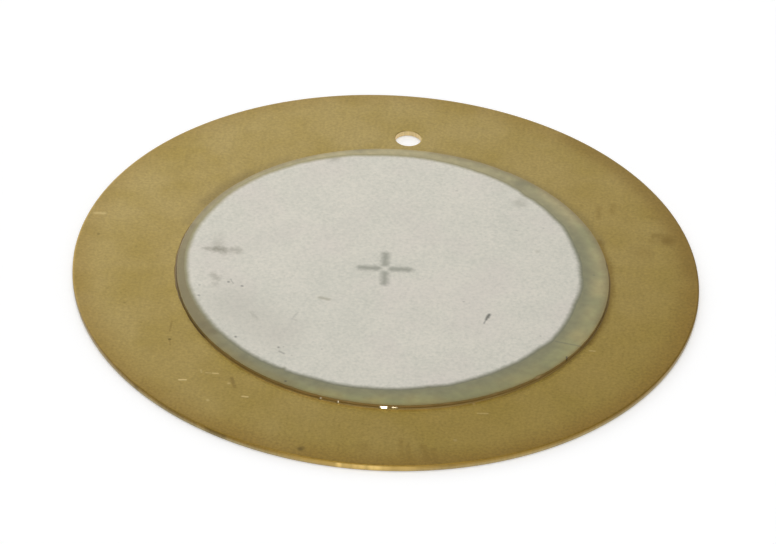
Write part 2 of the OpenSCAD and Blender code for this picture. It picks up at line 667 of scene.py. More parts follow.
        # Under the die roll: the sheared edges, and the bare sheet of the lower face
        height = g.add("SeparateXYZ", {"Vector": g.mm}).outputs["Z"]
        near = g.ring(0.0, plate.hole_y)
        rim = {"Value": g.ring(0.0, 0.0), "Value_001": plate.radius - plate.tear_w - plate.corner}
        hole = {"Value": near, "Value_001": plate.hole_r + plate.hole_tear_w + plate.corner}
        at_rim = g.add("Math", rim, OVER)
        at_hole = g.add("Math", hole, UNDER)
        cut = g.add("Math", {"Value": at_rim, "Value_001": at_hole}, HIGHEST)
        wall, wall_rough = self.sheared(g, height, near, wavy, plate)
        lower = g.add("Mix", {"Factor_Float": cut, "A_Color": sheet, "B_Color": wall}, COLOURS)
        lower_rough = g.add("Mix", {"Factor_Float": cut, "A_Float": sheet_rough, "B_Float": wall_rough})
        start, end = plate.high - plate.roll_h / 3, plate.high - plate.roll_h
        below = g.add("MapRange", {"Value": height, "From Min": start, "From Max": end})
        relief = {"Value": masks[Wear.SCRATCH], "Value_001": -self.scratch_depth, "Value_002": both}
        cuts = g.add("Math", relief, TIMES_PLUS)
        normal = g.add("Bump", {"Height": cuts, "Strength": 1.0, "Distance": self.relief_mm * MM})
        colour = g.add("Mix", {"Factor_Float": below, "A_Color": face, "B_Color": lower}, COLOURS)
        rough = g.add("Mix", {"Factor_Float": below, "A_Float": face_rough, "B_Float": lower_rough})
        skin = {"Base Color": colour, "Metallic": self.metallic, "Roughness": rough, "Normal": normal}
        return g.finish(g.add("BsdfPrincipled", skin))

    def tarnish(self, g: Graph, wavy: Any, radius: float) -> Any:
        """Colours the sheet: gold clouds, olive patches in them and a darker band at the rim.

        Args:
            g: The graph.
            wavy: Slow noise for the band's border.
            radius: The plate's radius.

        Returns:
            The colour.
        """
        cloud = g.add("TexNoise", {"Vector": g.mm, "Scale": 1 / self.cloud_mm, "Detail": 5.0})
        # The way towards the front right, where the sheet is painted deeper: partly tarnish and partly
        # painted shade away from the lamps
        way = {"Vector": g.mm, "Vector_001": (*self.shade_way, 0)}
        along = g.add("VectorMath", way, ALONG).outputs["Value"]
        reach = 2 * self.shade_mm
        moved = g.add("Math", {"Value": cloud, "Value_001": reach, "Value_002": along}, TIMES_PLUS)
        deeper = g.add("MapRange", {"Value": moved, "From Max": reach})
        patch = g.add("TexNoise", {"Vector": g.mm, "Scale": 1 / self.patch_mm, "Detail": 4.0})
        start, end = self.patch_span
        olive = {"Value": patch, "From Min": start, "From Max": end, "To Max": self.patch_most}
        patchy = g.add("MapRange", olive)
        out = g.ring(*self.band_at)
        edge = g.add("Math", {"Value": wavy, "Value_001": 0.5, "Value_002": out}, TIMES_PLUS)
        spread = {
            "Value": along,
            "From Min": self.band_span[0],
            "From Max": self.band_span[1],
            "To Min": self.band_most[0],
            "To Max": self.band_most[1],
        }
        band = {
            "Value": edge,
            "From Min": radius + self.band_mm[0],
            "From Max": radius + self.band_mm[1],
            "To Max": g.add("MapRange", spread),
        }
        banded = g.add("MapRange", band, SMOOTH)
        colour: Any = self.pale
        for mask, tone in ((deeper, self.deep), (patchy, self.olive), (banded, self.rim)):
            colour = g.add("Mix", {"Factor_Float": mask, "A_Color": colour, "B_Color": tone}, COLOURS)
        return colour

    def painted_light_rings(self, g: Graph, ceramic: Extent, colour: Any) -> Any:
        """Paints light on the brass beside the ceramic, mostly in front, against the shade of its wall.

        Both rings have their centre in front of the ceramic's, so they show less behind it.

        Args:
            g: The graph.
            ceramic: The ceramic's place.
            colour: The sheet's colour.

        Returns:
            The brighter colour.
        """
        rings = (
            (self.foot_light, self.foot_light_mm, *(end - self.foot_light_mm for end in self.foot_light_span)),
            (self.clean, self.front_light_mm / 2, -self.front_light_mm / 2, self.front_light_mm / 2),
        )
        for bright, shift, start, end in rings:
            span = (ceramic.radius + start, ceramic.radius + end)
            colour = g.shaded(colour, g.ring(ceramic.x, ceramic.y - shift), span, (bright, 1.0))
        return colour

    def sheared(
        self, g: Graph, height: Any, near: Any, wavy: Any, plate: BrassPlate
    ) -> tuple[Any, Any]:
        """Colours the sheared edge of the rim, and the fresh wall of the hole.

        Args:
            g: The graph.
            height: Height in millimetres.
            near: Distance from the hole's axis.
            wavy: Slow noise that varies the edge round the rim.
            plate: The plate, for its heights and its edge's marks.

        Returns:
            The colour and the roughness.
        """
        outside = g.add("Math", {"Value": near, "Value_001": self.hole_mm}, OVER)
        # The lower band and the foot: partly torn metal and partly painted reflection of the white table
        # below
        start, end = plate.high - self.burnished_mm, plate.low + self.torn_mm
        torn = g.add("MapRange", {"Value": height, "From Min": start, "From Max": end})
        bands = {"Factor_Float": torn, "A_Color": self.burnished, "B_Color": self.torn}
        edge = g.add("Mix", bands, COLOURS)
        wall = g.add("Mix", {"Factor_Float": outside, "A_Color": self.fresh, "B_Color": edge}, COLOURS)
        upright = g.add("Mapping", {"Vector": g.mm, "Scale": tuple(1 / size for size in self.shear_mm)})
        drawn = g.add("TexNoise", {"Vector": upright, "Scale": 1.0, "Detail": 2.0})
        wall = g.shaded(wall, wavy, NOISE_SPAN, self.wave_shades)
        wall = g.shaded(wall, drawn, NOISE_SPAN, self.shear_shades)
        wall, rough, _ = g.wear(plate.edge_marks, self.edge_looks, wall, self.edge_roughness)
        foot = {
            "Value": height,
            "From Min": plate.low + self.foot_mm,
            "From Max": plate.low,
            "To Max": self.foot_most,
        }
        dull = g.add("Math", {"Value": g.add("MapRange", foot), "Value_001": outside}, TIMES)
        return g.add("Mix", {"Factor_Float": dull, "A_Color": wall, "B_Color": self.foot}, COLOURS), rough


@dataclass(frozen=True)
class CeramicFinish:
    """Lead zirconate titanate, sintered and lapped, with a fired satin skin.

    The eye gets a mottled olive margin that turns greyer and darker beside the silver, a thin
    brown line along its edge, brown rubs, and a rim that is paler than the line. The margin and
    the line are painted paler towards the back and the back left, as painted light from the
    lamps there, and the rim's wall is painted paler as painted light on a side the lamps light less.
    """

    front: str = "#9C9054"
    # back is painted paler than front, and lit_edge_back than edge: painted light from the lamps behind
    back: str = "#B2A577"
    green: str = "#83875A"
    beside: str = "#807D57"
    edge: str = "#83712B"
    lit_edge_back: str = "#A28C50"
    # painted light: the wall is painted paler, as if the lamps lit it as well as the upper face
    wall: str = "#B3945A"
    looks: tuple[WearLook, ...] = (
        WearLook(Wear.STAIN, "#5F5C40", 0.9, 0.45, ragged=0.1),
        WearLook(Wear.SCUFF, "#776838", 0.95, 0.45, ragged=0.1),
        WearLook(Wear.LINE, "#63604A", 0.7, 0.5, ragged=0.03),
        WearLook(Wear.SPECK, "#2E2818", 0.7, 0.5, ragged=0.02),
    )
    roughness: float = 0.38
    ior: float = 1.6
    green_span: tuple[float, float] = (0.4, 0.62)
    green_most: float = 0.6
    beside_mm: float = 0.5
    beside_gap: float = 0.05  # how far from the silver the greyer ring starts
    beside_wave: float = 0.2  # how far that ring's border wanders
    edge_mm: float = 0.14
    edge_most: float = 0.7
    wall_mm: tuple[float, float] = (0.004, 0.03)  # below the upper face, where the wall's painted light comes in
    cloud_mm: float = 1.0  # clouds of colour left by the firing
    mottle_mm: float = 0.25
    mottle_shades: tuple[float, float] = (0.88, 1.12)
    # Its sintered grains are a few thousandths wide, so they are drawn as coarse as they need
    # to show
    grain_mm: float = 0.06
    relief_mm: float = 0.0012

    def material(self, disc: CeramicDisc) -> bpy.types.Material:
        """Builds the node tree for a ceramic disc.

        Args:
            disc: The ceramic, for its heights, the print on it and its marks.

        Returns:
            The material.
        """
        g = Graph("sintered_pzt")
        parts = g.add("SeparateXYZ", {"Vector": g.mm})
        cloud = g.add("TexNoise", {"Vector": g.mm, "Scale": 1 / self.cloud_mm, "Detail": 4.0})
        mottle = g.add("TexNoise", {"Vector": g.mm, "Scale": 1 / self.mottle_mm, "Detail": 2.0})
        radius, top = disc.place.radius, disc.place.high
        span = {"Value": parts.outputs["Y"], "From Min": -radius, "From Max": radius}
        depth = g.add("MapRange", span)
        start, end = self.green_span
        span = {"Value": cloud, "From Min": start, "From Max": end, "To Max": self.green_most}
        tint = g.add("MapRange", span)
        reach = g.ring(*disc.print_at.centre)
        wave = {"Value": cloud, "Value_001": -self.beside_wave, "Value_002": reach}
        moved = g.add("Math", wave, TIMES_PLUS)
        start = disc.print_at.radius + self.beside_gap
        span = {"Value": moved, "From Min": start, "From Max": start + self.beside_mm}
        away = g.add("MapRange", span, SMOOTH)
        span = {
            "Value": g.ring(*disc.place.centre),
            "From Min": radius - self.edge_mm,
            "From Max": radius,
            "To Max": self.edge_most,
        }
        outer = g.add("MapRange", span, SMOOTH)
        # Painted light: paler towards the back and the back left, where the lamps stand
        fired = {"Factor_Float": depth, "A_Color": self.front, "B_Color": self.back}
        clouded = {"Factor_Float": tint, "A_Color": g.add("Mix", fired, COLOURS), "B_Color": self.green}
        grey = {"Factor_Float": g.toward_lamps(), "A_Color": self.beside, "B_Color": self.back}
        border = {"Factor_Float": depth, "A_Color": self.edge, "B_Color": self.lit_edge_back}
        colour = g.add("Mix", grey, COLOURS)
        for mask, tone in ((away, clouded), (outer, border)):
            over = {"Factor_Float": mask, "A_Color": colour, "B_Color": g.add("Mix", tone, COLOURS)}
            colour = g.add("Mix", over, COLOURS)
        colour = g.shaded(colour, mottle, NOISE_SPAN, self.mottle_shades)
        # Painted light on the wall
        start, end = top - self.wall_mm[0], top - self.wall_mm[1]
        span = {"Value": parts.outputs["Z"], "From Min": start, "From Max": end}
        down = g.add("MapRange", span, SMOOTH)
        colour = g.add("Mix", {"Factor_Float": down, "A_Color": colour, "B_Color": self.wall}, COLOURS)
        colour, rough, _ = g.wear(disc.marks, self.looks, colour, self.roughness)
        grain = g.add("TexNoise", {"Vector": g.mm, "Scale": 1 / self.grain_mm, "Detail": 2.0})
        normal = g.add("Bump", {"Height": grain, "Strength": 1.0, "Distance": self.relief_mm * MM})
        skin = {"Base Color": colour, "Roughness": rough, "IOR": self.ior, "Normal": normal}
        return g.finish(g.add("BsdfPrincipled", skin))


@dataclass(frozen=True)
class SilverFinish:
    """Fired silver paste, screen printed: a matt, very pale film with a fine tooth.

    The eye gets an even warm grey-white with a faint mottle, broad warmer clouds, grey dirt
    that rubs off on its tooth, and a soft edge where the print thins out and the ceramic
    shows through.
    """

    clean: str = "#DEDACE"
    cast: str = "#D5D3C7"
    tint: str = "#DBD4CB"
    through: str = "#7B7A60"
    # painted light: the ceramic under the thin print is painted paler towards the back left, where the
    # lamps stand
    lit_through: str = "#A59B70"
    looks: tuple[WearLook, ...] = (
        WearLook(Wear.STAIN, "#BBB7AC", 0.95, 0.62, ragged=0.2),
        WearLook(Wear.SMEAR, "#8C8978", 1.0, 0.6, ragged=0.14),
        WearLook(Wear.SCUFF, "#908A6C", 1.0, 0.6, ragged=0.03),
        WearLook(Wear.LINE, "#5E5D55", 0.95, 0.6, ragged=0.03),
        WearLook(Wear.SPECK, "#55544C", 0.95, 0.6, ragged=0.02),
        WearLook(Wear.PRINT, "#8A8B7C", 1.0, 0.5, ragged=0.08),
    )
    roughness: float = 0.62
    metallic: float = 0.55  # glass and pores are mixed with the silver
    cloud_mm: float = 1.4
    cloud_span: tuple[float, float] = (0.75, 1.25)
    tint_mm: float = 2.2
    tint_span: tuple[float, float] = (0.48, 0.68)
    tint_most: float = 0.5
    tooth_shades: tuple[float, float] = (0.965, 1.035)
    grain_mm: float = 0.1  # the mesh of the printing screen
    ragged_mm: float = 0.0025
    ragged_span: tuple[float, float] = (0.42, 0.58)
    relief_mm: float = 0.003

    def material(self, silver: SilverPrint | None = None) -> bpy.types.Material:
        """Builds the node tree for a silver film.

        Args:
            silver: The printed film, for its marks, or None for a film that nothing marked.

        Returns:
            The material.
        """
        g = Graph("fired_silver" if silver else "fired_silver_plain")
        cloud = g.add("TexNoise", {"Vector": g.mm, "Scale": 1 / self.cloud_mm, "Detail": 5.0})
        grain = g.add("TexNoise", {"Vector": g.mm, "Scale": 1 / self.grain_mm, "Detail": 3.0})
        broad = g.add("TexNoise", {"Vector": g.mm, "Scale": 1 / self.tint_mm, "Detail": 3.0})
        both = g.add("Math", {"Value": cloud, "Value_001": grain}, PLUS)
        start, end = self.cloud_span
        spread = g.add("MapRange", {"Value": both, "From Min": start, "From Max": end})
        start, end = self.tint_span
        span = {"Value": broad, "From Min": start, "From Max": end, "To Max": self.tint_most}
        film: Any = self.cast
        for mask, tone in ((spread, self.clean), (g.add("MapRange", span), self.tint)):
            film = g.add("Mix", {"Factor_Float": mask, "A_Color": film, "B_Color": tone}, COLOURS)
        colour: Any = g.shaded(film, grain, NOISE_SPAN, self.tooth_shades)
        rough: Any = self.roughness
        metal: Any = self.metallic
        if silver:
            colour, rough, masks = g.wear(silver.marks, self.looks, colour, rough)
            thin = self.thinned(g, grain, silver.place)
            # Painted light towards the back left on the thin edge
            way = {"Factor_Float": g.toward_lamps(), "A_Color": self.through, "B_Color": self.lit_through}
            under = g.add("Mix", way, COLOURS)
            colour = g.add("Mix", {"Factor_Float": thin, "A_Color": colour, "B_Color": under}, COLOURS)
            bare = g.add("Math", {"Value": masks[Wear.PRINT], "Value_001": thin}, HIGHEST)
            metal = g.add("Mix", {"Factor_Float": bare, "A_Float": self.metallic, "B_Float": 0.0})
        normal = g.add("Bump", {"Height": grain, "Strength": 1.0, "Distance": self.relief_mm * MM})
        skin = {"Base Color": colour, "Metallic": metal, "Roughness": rough, "Normal": normal}
        return g.finish(g.add("BsdfPrincipled", skin))

    def thinned(self, g: Graph, grain: Any, place: Extent) -> bpy.types.Node:
        """Gives where the print has thinned out, from its height above the ceramic.

        Args:
            g: The graph.
            grain: Noise that makes the border ragged.
            place: The film's place.

        Returns:
            The node that holds the mask.
        """
        height = g.add("SeparateXYZ", {"Vector": g.mm}).outputs["Z"]
        uneven = {"Value": grain, "Value_001": self.ragged_mm, "Value_002": height}
        fall = {
            "Value": g.add("Math", uneven, TIMES_PLUS),
            "From Min": place.high + self.ragged_mm * self.ragged_span[0],
            "From Max": place.low + self.ragged_mm * self.ragged_span[1],
        }
        return g.add("MapRange", fall)


@dataclass(frozen=True)
class AdhesiveFinish:
    """Cured epoxy adhesive, squeezed out clear and gone amber.

    The eye gets dark brown where it stands thick against the rim, and little more than the
    brass itself where it runs out thin, with a gloss. The glint on a few drops is partly their
    slope mirroring the front lamp and partly a painted highlight, white and fully metallic.
    """

    thick: str = "#8A7032"
    thin: str = "#8C763A"
    looks: tuple[WearLook, ...] = (
        WearLook(Wear.LINE, "#5A4518", 0.9, 0.45),
        # painted highlight on the drops
        WearLook(Wear.GLINT, "#FFEFCB", 0.2, 0.14),
    )
    roughness: float = 0.4
    ior: float = 1.5
    metallic: tuple[float, float] = (0.3, 0.7)  # the brass shines through, more where it is thin
    cloud_mm: float = 0.4
    thin_mm: float = 0.045  # how far out it has run thin
    thin_wave: float = 0.06  # how far that border wanders
    skin_mm: float = 0.15  # the waves of its cured skin
    relief_mm: float = 0.002

    def material(self, bead: AdhesiveBond) -> bpy.types.Material:
        """Builds the node tree for the bead.

        Args:
            bead: The bond, for its place and its reach.

        Returns:
            The material.
        """
        g = Graph("cured_epoxy")
        reach = g.ring(*bead.ceramic.centre)
        cloud = g.add("TexNoise", {"Vector": g.mm, "Scale": 1 / self.cloud_mm, "Detail": 3.0})
        wave = {"Value": cloud, "Value_001": -self.thin_wave, "Value_002": reach}
        moved = g.add("Math", wave, TIMES_PLUS)
        rim = bead.ceramic.radius
        span = {"Value": moved, "From Min": rim, "From Max": rim + self.thin_mm}
        outward = g.add("MapRange", span, SMOOTH)
        amber = {"Factor_Float": outward, "A_Color": self.thick, "B_Color": self.thin}
        colour = g.add("Mix", amber, COLOURS)
        colour, rough, masks = g.wear(bead.marks, self.looks, colour, self.roughness)
        least, most = self.metallic
        metal = g.add("MapRange", {"Value": outward, "To Min": least, "To Max": most})
        # Painted highlight: the glint is made fully metallic as well as white
        metal = g.add("Math", {"Value": metal, "Value_001": masks[Wear.GLINT]}, HIGHEST)
        fine = g.add("TexNoise", {"Vector": g.mm, "Scale": 1 / self.skin_mm, "Detail": 2.0})
        normal = g.add("Bump", {"Height": fine, "Strength": 1.0, "Distance": self.relief_mm * MM})
        skin = {"Base Color": colour, "Metallic": metal, "Roughness": rough}
        return g.finish(g.add("BsdfPrincipled", skin | {"IOR": self.ior, "Normal": normal}))


@dataclass
class BrassPlate:
    """The blanked round plate, with its pierced hole.

    The rolls and tears are the widths and heights of the sheared edges' sections, as on the
    CAD part.
    """

    place: Extent = field(default_factory=lambda: Extent.of("brass_plate"))
    ceramic: Extent = field(default_factory=lambda: Extent.of("ceramic_disc"))
    roll_w: float = 0.06
    roll_h: float = 0.03
    tear_w: float = 0.012
    tear_h: float = 0.06
    hole_roll_w: float = 0.035
    hole_roll_h: float = 0.02
    hole_tear_w: float = 0.01
    hole_tear_h: float = 0.05
    corner: float = 0.005  # how far past a corner the look of the sheared edge may reach
    columns: int = 1080

    @property
    def marks(self) -> list[Mark]:
        """What the tools and the years left on the upper face, with painted shade round the ceramic's
        foot and one painted glint.
        """
        return [
            # Painted shade round the ceramic's foot, at the back left and the back right
            *arcs(
                Wear.SMEAR,
                self.ceramic.centre,
                (7.12, 124, 136, 0.4, 0.25), (7.1, 136, 154, 0.42, 0.48),
                (7.08, 154, 164, 0.34, 0.25), (7.02, 24, 84, 0.34, 0.4),
            ),
            # Painted shade along the ceramic's foot on the right
            *arcs(Wear.STAIN, self.ceramic.centre, (6.98, -22, 24, 0.24, 0.65)),
            *strokes(
                Wear.SCRATCH,
                (-5.85, -6.54, -5.65, -6.51, 0.06, 0.51),
                (-5.07, -6.05, -4.93, -6.05, 0.05, 0.18),
                (-4.86, -6.05, -4.69, -6.05, 0.06, 0.33),
                (-5.24, -5.93, -5.21, -6.07, 0.05, 0.18), (-3.81, -7.1, -3.64, -7.1, 0.06, 0.39),
                (-9.6, 1.88, -9.3, 1.9, 0.12, 0.22), (3.52, -6.89, 3.83, -6.86, 0.05, 0.24),
                (6.74, -3.15, 6.91, -3.15, 0.05, 0.27),
            ),
            *dots(
                Wear.SCRATCH,
                (-4.3, -6.5, 0.09, 0.24), (-4.85, -7.45, 0.09, 0.24), (2.95, -8.35, 0.1, 0.15),
                # painted glint: the next dot is a highlight at the bead's foot, drawn as a bright mark
                (3.36, -6.43, 0.08, 0.5),
            ),
            *strokes(
                Wear.LINE,
                (-6.45, -3.55, -6.45, -4.1, 0.06, 0.28), (-6.4, -4.5, -6.35, -4.8, 0.06, 0.24),
                (-4.25, -6.2, -4.1, -6.65, 0.12, 0.4),
            ),
            *dots(
                Wear.SPECK,
                (-6.4, -4.5, 0.1, 0.6), (-1.73, -9.47, 0.2, 0.5), (-9.35, 0.75, 0.1, 0.35),
                (-8.7, -2.1, 0.09, 0.24), (-7.95, -1.7, 0.08, 0.21), (-8.05, -2.8, 0.09, 0.24),
                (-7.4, -3.75, 0.08, 0.21), (-7.45, 1.35, 0.08, 0.21),
            ),
            *strokes(
                Wear.STAIN,
                (8.4, 3.3, 9.0, 3.35, 0.3, 0.45), (8.3, 3.0, 9.0, 3.05, 0.25, 0.25),
                (8.2, 4.35, 8.45, 4.3, 0.2, 0.25), (6.49, 4.6, 6.5, 4.0, 0.18, 0.3),
                (6.95, 4.8, 6.93, 4.4, 0.18, 0.25), (1.3, -8.6, 1.4, -9.35, 0.18, 0.36),
                (1.5, -8.8, 1.65, -9.55, 0.18, 0.36), (2.0, -8.8, 2.2, -9.45, 0.2, 0.5),
                (2.3, -8.95, 2.45, -9.55, 0.18, 0.4),
            ),
            *dots(
                Wear.STAIN,
                (8.83, 3.12, 0.5, 0.8), (8.1, 2.3, 0.6, 0.2), (0.2, -9.1, 0.4, 0.3),
                (2.7, -9.2, 0.2, 0.21),
            ),
            *arcs(Wear.STAIN, (0.0, 0.0), (9.85, 8, 58, 0.6, 0.35)),
        ]

    @property
    def edge_marks(self) -> list[Mark]:
        """Painted highlights and a painted bright reflection on the front of the sheared edge, and dark
        patches at its front left.
        """
        return [
            *dots(Wear.EDGE_SHEEN, (0.3, -10.0, 4.6, 0.78), (4.0, -9.2, 5.0, 0.3)),
            # Dark patches on the front left of the sheared edge
            *strokes(
                Wear.EDGE_DARK,
                (-4.7, -8.85, -4.15, -9.1, 0.2, 0.4), (-7.6, -6.5, -5.2, -8.55, 0.3, 0.15),
            ),
            *dots(Wear.EDGE_DARK, (-7.15, -7.0, 0.25, 0.4)),
            *dots(
                Wear.EDGE_HIGHLIGHT,
                (-0.49, -10.0, 0.16, 0.85), (-0.25, -10.0, 0.3, 0.25), (0.02, -10.0, 0.2, 0.5),
                (0.2, -10.0, 0.26, 0.6), (0.52, -10.0, 0.22, 0.8), (0.68, -10.0, 0.34, 0.85),
                (0.95, -10.0, 0.3, 0.4), (1.55, -9.9, 0.5, 0.25),
            ),
        ]

    @property
    def radius(self) -> float:
        """The plate's radius."""
        return self.place.radius

    @property
    def low(self) -> float:
        """The height of the plate's lower face."""
        return self.place.low

    @property
    def high(self) -> float:
        """The height of the plate's upper face."""
        return self.place.high

    @property
    def hole(self) -> dict[str, Any]:
        """The record's mount for the hole."""
        return next(m for m in frame["record"]["mounts"] if m["name"] == "hole")

    @property
    def hole_r(self) -> float:
        """The hole's radius."""
        return self.hole["dims"]["r_mm"]

    @property
    def hole_y(self) -> float:
        """How far the hole's axis lies behind the plate's."""
        return self.hole["pos_m"][1] / MM

    def face(self, inner: float, outer: float, z: float, steps: int) -> np.ndarray:
        """Spreads circles over a face, from round the hole to round the plate.

        Their centres and radii are a straight mix of the two, closer together at either end.

        Args:
            inner: Radius of the circle round the hole.
            outer: Radius of the circle round the plate.
            z: The face's height.
            steps: How many steps to take; the circles at the two ends are left out.

        Returns:
            Rows of the centre's Y, the radius and the height.
        """
        mix = (1 - np.cos(np.linspace(0, np.pi, steps + 1)))[1:-1] / 2
        radius = (1 - mix) * inner + mix * outer
        return np.column_stack([(1 - mix) * self.hole_y, radius, np.full(mix.size, z)])

    def grid(self) -> np.ndarray:
        """Works out the plate as one closed family of circles.

        They pass over the upper face, down the rim, back under the lower face and up the
        hole. Rolls are parts of ellipses round either edge.

        Returns:
            Rows by columns by three, in millimetres.
        """
        low, high, rim, hole = self.low, self.high, self.radius, self.hole_r
        entry = hole + self.hole_roll_w, high - self.hole_roll_h
        roll = quarter((rim - self.roll_w, high - self.roll_h), (self.roll_w, self.roll_h), 90, 0, 8)
        band = [[rim, (high - self.roll_h + low + self.tear_h) / 2], [rim, low + self.tear_h]]
        tear = [[rim - self.tear_w * 0.4, low + self.tear_h / 2], [rim - self.tear_w, low]]
        flare = [[hole + self.hole_tear_w, low], [hole, low + self.hole_tear_h]]
        round_hole = quarter(entry, (self.hole_roll_w, self.hole_roll_h), 180, 90, 8)
        edge = np.concatenate([roll, band, tear])
        wall = np.concatenate([flare, round_hole])
        rows = np.concatenate(
            [
                self.face(entry[0], rim - self.roll_w, high, 26),
                np.column_stack([np.zeros(len(edge)), edge]),
                self.face(hole + self.hole_tear_w, rim - self.tear_w, low, 16)[::-1],
                np.column_stack([np.full(len(wall), self.hole_y), wall]),
            ]
        )
        return swept(0.0, rows[:, :1], rows[:, 1:2], rows[:, 2:], self.columns)

    def build(self) -> None:
        """Makes and dresses the plate, and puts it in the place of its CAD node."""
        piece = new_piece("blanked_plate", self.grid(), closed=True, sharp=35)
        settle(piece, BrassFinish().material(self), "brass_plate")


@dataclass
class CeramicDisc:
    """The ceramic disc, with small chips along its upper edge."""

    place: Extent = field(default_factory=lambda: Extent.of("ceramic_disc"))
    print_at: Extent = field(default_factory=lambda: Extent.of("upper_electrode"))
    edge: float = 0.015
    rough: float = 0.004  # the fine unevenness of the upper edge
    columns: int = 1440
    # Each chip's angle, depth and width
    chips: tuple[tuple[float, float, float], ...] = (
        (-43.3, 0.05, 0.25), (-57.0, 0.02, 0.2), (-70.0, 0.02, 0.25), (-96.0, 0.02, 0.2),
        (-112.0, 0.02, 0.2), (-133.0, 0.025, 0.2), (12.0, 0.02, 0.3), (64.0, 0.02, 0.3),
        (141.0, 0.02, 0.3),
    )

    @property
    def marks(self) -> list[Mark]:
        """The rubs, grains and tarnish on the ceramic's margin, and darker brown bands along its edge."""
        return [
            *arcs(Wear.STAIN, self.place.centre, (6.65, -72, -40, 0.6, 0.2)),
            # Darker brown bands that follow the edge all round but the front
            *arcs(
                Wear.SCUFF,
                self.place.centre,
                (6.78, -158, -112, 0.34, 0.45), (6.74, 178, 216, 0.56, 0.75),
                (6.8, 166, 178, 0.44, 0.6), (6.86, 146, 166, 0.3, 0.4),
                (6.87, 118, 146, 0.26, 0.28), (6.87, -14, 84, 0.26, 0.45),
            ),
            *strokes(Wear.LINE, (5.65, -3.0, 6.55, -3.15, 0.06, 0.45)),
            *dots(Wear.LINE, (6.6, 0.7, 0.08, 0.4)),
            *strokes(Wear.SPECK, (6.05, -3.75, 6.1, -4.0, 0.06, 0.8)),
            *dots(Wear.SPECK, (-2.55, -6.3, 0.09, 0.6)),
            *dots(
                Wear.STAIN,
                (-5.45, -3.75, 0.35, 0.6), (-5.1, -4.05, 0.35, 0.6), (-4.7, -4.7, 0.3, 0.35),
                (-4.0, -5.3, 0.3, 0.5), (-1.5, 6.65, 0.5, 0.4), (3.85, 5.35, 0.4, 0.4),
            ),
            *dots(Wear.SCUFF, (-4.3, -5.2, 0.3, 0.5)),
            *strokes(Wear.SCUFF, (-6.15, -2.45, -5.85, -3.0, 0.3, 0.6)),
        ]

    def grid(self) -> np.ndarray:
        """Works out the disc as loops of points from the upper pole to the lower one.

        Each loop's radius is its section's radius, less what the chips take there. A chip is
        a bell round the rim, and it bites deepest at the upper edge and fades down the wall.

        Returns:
            Rows by columns by three, in millimetres.
        """
        low, high, rim = self.place.low, self.place.high, self.place.radius
        inner, half = rim - self.edge, (self.edge, self.edge)
        face = np.linspace(0.02, 1, 14)[:-1] ** 0.6 * inner
        wall = np.linspace(high - self.edge, low + self.edge, 8)[1:-1]
        section = np.concatenate(
            [
                np.column_stack([face, np.full(face.size, high)]),
                quarter((inner, high - self.edge), half, 90, 0, 6),
                np.column_stack([np.full(wall.size, rim), wall]),
                quarter((inner, low + self.edge), half, 0, -90, 4),
                np.column_stack([face[::-1], np.full(face.size, low)]),
            ]
        )
        turn = turns(self.columns)
        bite = np.abs(ripple(turn, 3, (60, 420), self.rough)) + bitten(turn, self.chips, rim)
        depth = np.clip((high - section[:, 1]) / (high - low), 0, 1)
        near = np.clip(section[:, 0] / rim, 0, 1) ** 40
        share = near * (1 - depth) ** 1.5
        radius = section[:, :1] - share[:, None] * bite
        return swept(*self.place.centre, radius, section[:, 1:2], self.columns)

    def build(self) -> None:
        """Makes and dresses the disc, and puts it in the place of its CAD node."""
        piece = new_piece("ceramic_wafer", self.grid(), closed=False, sharp=50)
        settle(piece, CeramicFinish().material(self), "ceramic_disc")


@dataclass(frozen=True)
class PlusSign:
    """A stencilled plus: four bars that stop short of the middle."""

    x: float = -0.05
    y: float = 0.05
    inner: float = 0.24
    outer: float = 0.78
    width: float = 0.24
    lean: float = 4.0
    strength: float = 0.72

    def bars(self) -> list[Mark]:
        """Gives one mark for each bar."""
        marks = []
        for k in range(4):
            angle = math.radians(self.lean + 90 * k)
            ends = [
                (self.x + reach * math.cos(angle), self.y + reach * math.sin(angle))
                for reach in (self.inner, self.outer)
            ]
            marks.append(Mark(Wear.PRINT, *ends, self.width, self.strength))
        return marks


